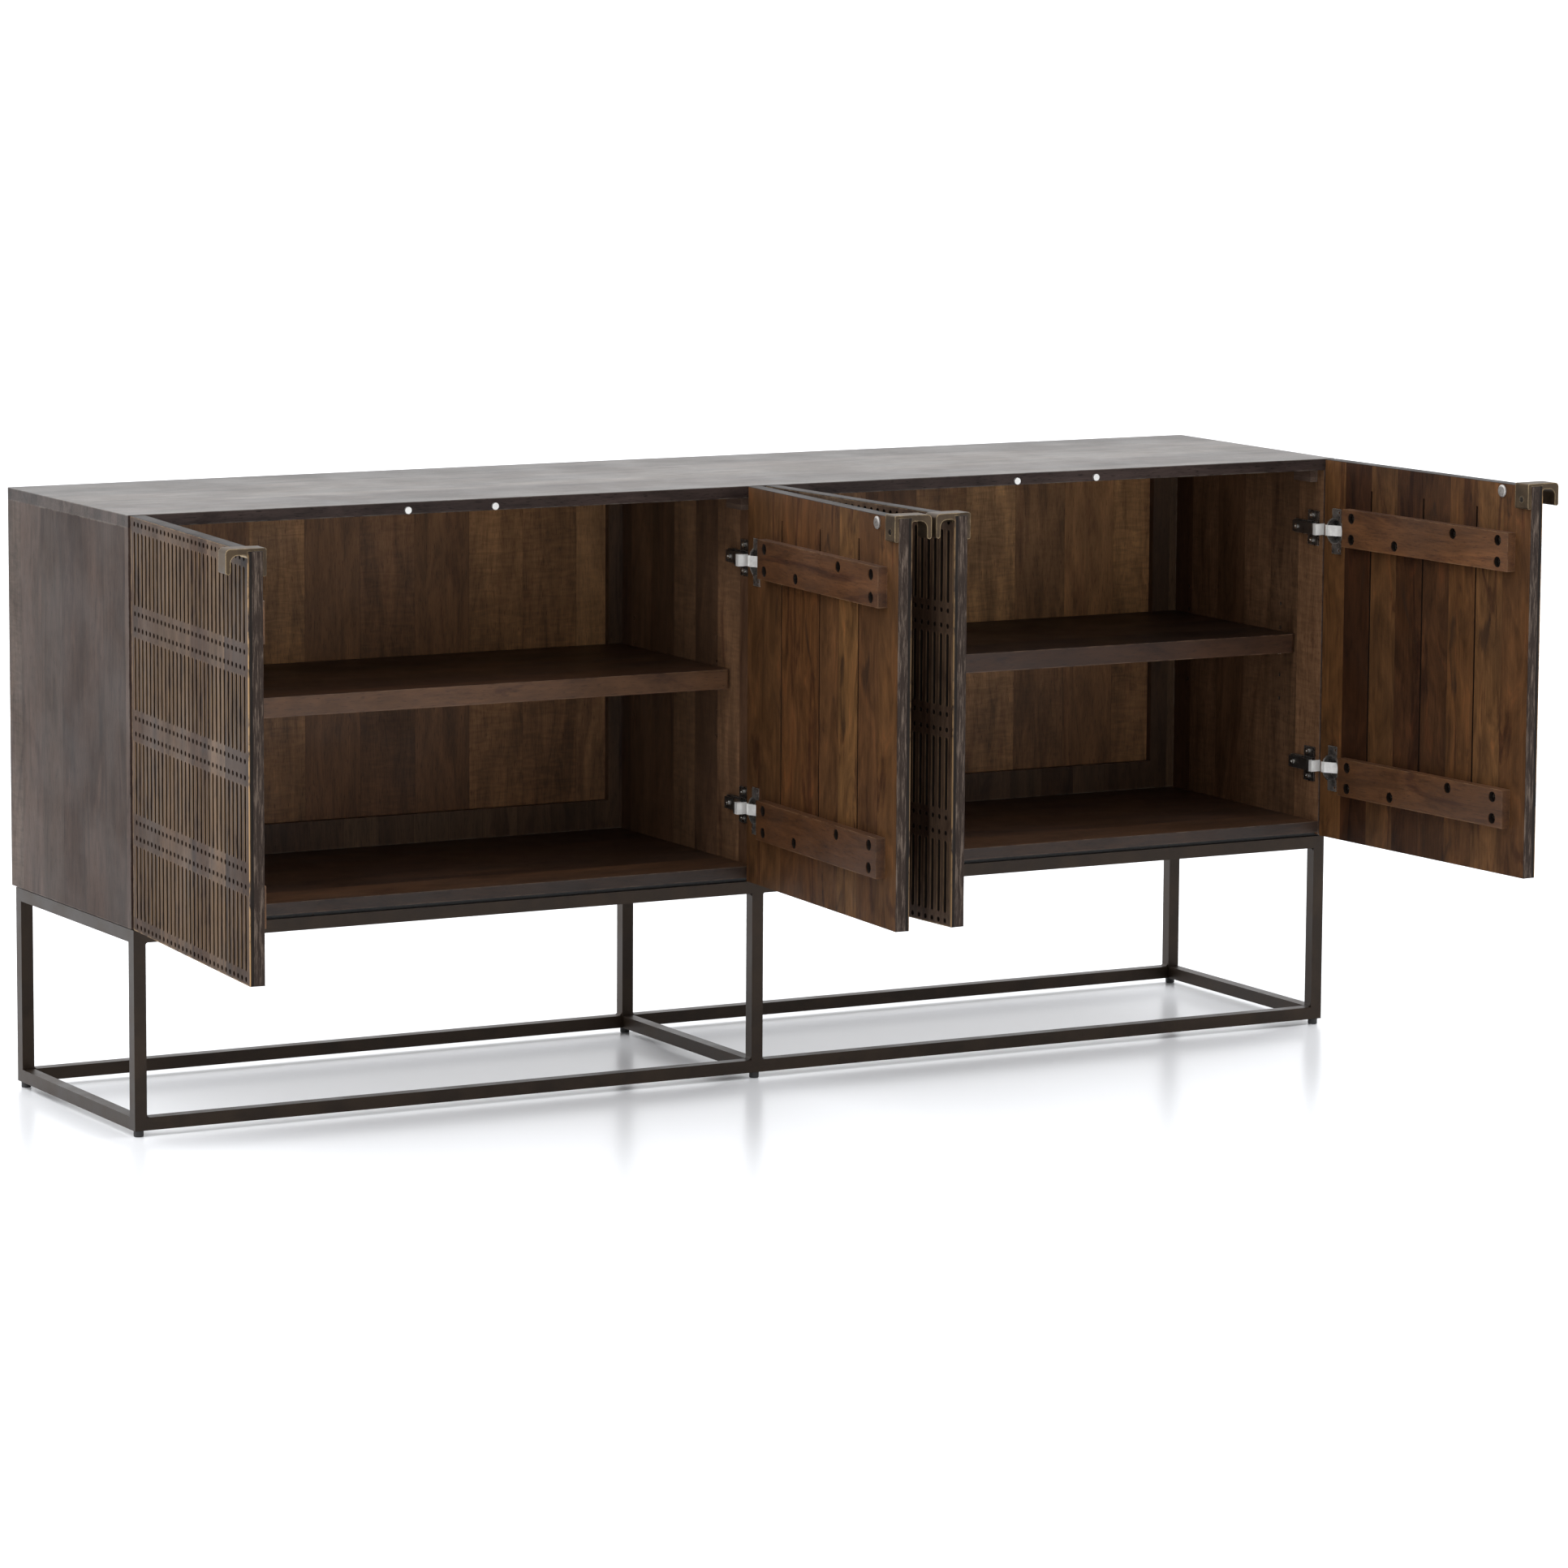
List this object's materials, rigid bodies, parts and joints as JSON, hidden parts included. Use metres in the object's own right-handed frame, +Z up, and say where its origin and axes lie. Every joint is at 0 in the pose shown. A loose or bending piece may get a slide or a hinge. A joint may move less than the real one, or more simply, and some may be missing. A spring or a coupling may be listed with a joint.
{
  "type": "sideboard buffet",
  "caption": "Long low two-bay wooden sideboard with carved overlay doors, hooked metal handles, shelves and a square-tube metal base.",
  "frame": {"origin": "on the floor under the centre of the front middle foot", "axes": "+X along the length to the right seen from the front, +Y towards the back, +Z up"},
  "size_m": [1.8486, 0.8184, 0.7656],
  "materials": {
    "case_wood": "satin grey-brown stain",
    "inner_wood": "satin brown stain",
    "back_wood": "satin dark brown stain",
    "shelf_wood": "satin reddish brown stain",
    "door_wood": "stained, edges worn pale",
    "batten_wood": "satin brown stain",
    "base_metal": "satin gunmetal",
    "glide": "matte black",
    "bright_metal": "bright nickel",
    "hinge_metal": "dark nickel",
    "cast_handle": "antique, worn edges",
    "dark_hardware": "dark zinc"
  },
  "bodies": {
    "case": {"top_panel": "case_wood", "bottom_panel": "inner_wood", "side_left": "case_wood", "side_right": "case_wood", "centre_divider": "inner_wood", "back_left": "back_wood", "back_right": "back_wood", "back_frame": "back_wood", "corner_cleats": "inner_wood", "shelf_left": "shelf_wood", "shelf_right": "shelf_wood", "shelf_pins": "bright_metal", "cabinet_magnets": "bright_metal", "hinge_plates": "hinge_metal", "hinge_arms": "bright_metal", "hinge_plate_screws": "bright_metal", "base_legs": "base_metal", "base_long_rails": "base_metal", "base_cross_rails": "base_metal", "base_fillets": "base_metal", "glides": "glide", "base_spacers": "glide", "base_studs": "dark_hardware"},
    "door_1": {"door_1_panel": "door_wood", "door_1_upper_batten": "batten_wood", "door_1_lower_batten": "batten_wood", "door_1_batten_screws": "dark_hardware", "door_1_handle": "cast_handle", "door_1_handle_screw": "cast_handle", "door_1_strike": "bright_metal", "door_1_hinge_cups": "hinge_metal", "door_1_hinge_links": "bright_metal"},
    "door_2": {"door_2_panel": "door_wood", "door_2_upper_batten": "batten_wood", "door_2_lower_batten": "batten_wood", "door_2_batten_screws": "dark_hardware", "door_2_handle": "cast_handle", "door_2_handle_screw": "cast_handle", "door_2_strike": "bright_metal", "door_2_hinge_cups": "hinge_metal", "door_2_hinge_links": "bright_metal"},
    "door_3": {"door_3_panel": "door_wood", "door_3_upper_batten": "batten_wood", "door_3_lower_batten": "batten_wood", "door_3_batten_screws": "dark_hardware", "door_3_handle": "cast_handle", "door_3_handle_screw": "cast_handle", "door_3_strike": "bright_metal", "door_3_hinge_cups": "hinge_metal", "door_3_hinge_links": "bright_metal"},
    "door_4": {"door_4_panel": "door_wood", "door_4_upper_batten": "batten_wood", "door_4_lower_batten": "batten_wood", "door_4_batten_screws": "dark_hardware", "door_4_handle": "cast_handle", "door_4_handle_screw": "cast_handle", "door_4_strike": "bright_metal", "door_4_hinge_cups": "hinge_metal", "door_4_hinge_links": "bright_metal"}
  },
  "joints": [
    {"name": "door_1_hinge", "type": "hinge", "parent": "case", "child": "door_1", "pos_m": [-0.856, -0.0265, 0.51025], "axis": [0, 0, -1], "range_deg": [-95, 5]},
    {"name": "door_2_hinge", "type": "hinge", "parent": "case", "child": "door_2", "pos_m": [-0.013, -0.0265, 0.51025], "axis": [0, 0, 1], "range_deg": [-86.5, 0]},
    {"name": "door_3_hinge", "type": "hinge", "parent": "case", "child": "door_3", "pos_m": [0.013, -0.0265, 0.51025], "axis": [0, 0, -1], "range_deg": [-86.5, 0]},
    {"name": "door_4_hinge", "type": "hinge", "parent": "case", "child": "door_4", "pos_m": [0.856, -0.0265, 0.51025], "axis": [0, 0, 1], "range_deg": [-94, 6]}
  ]
}
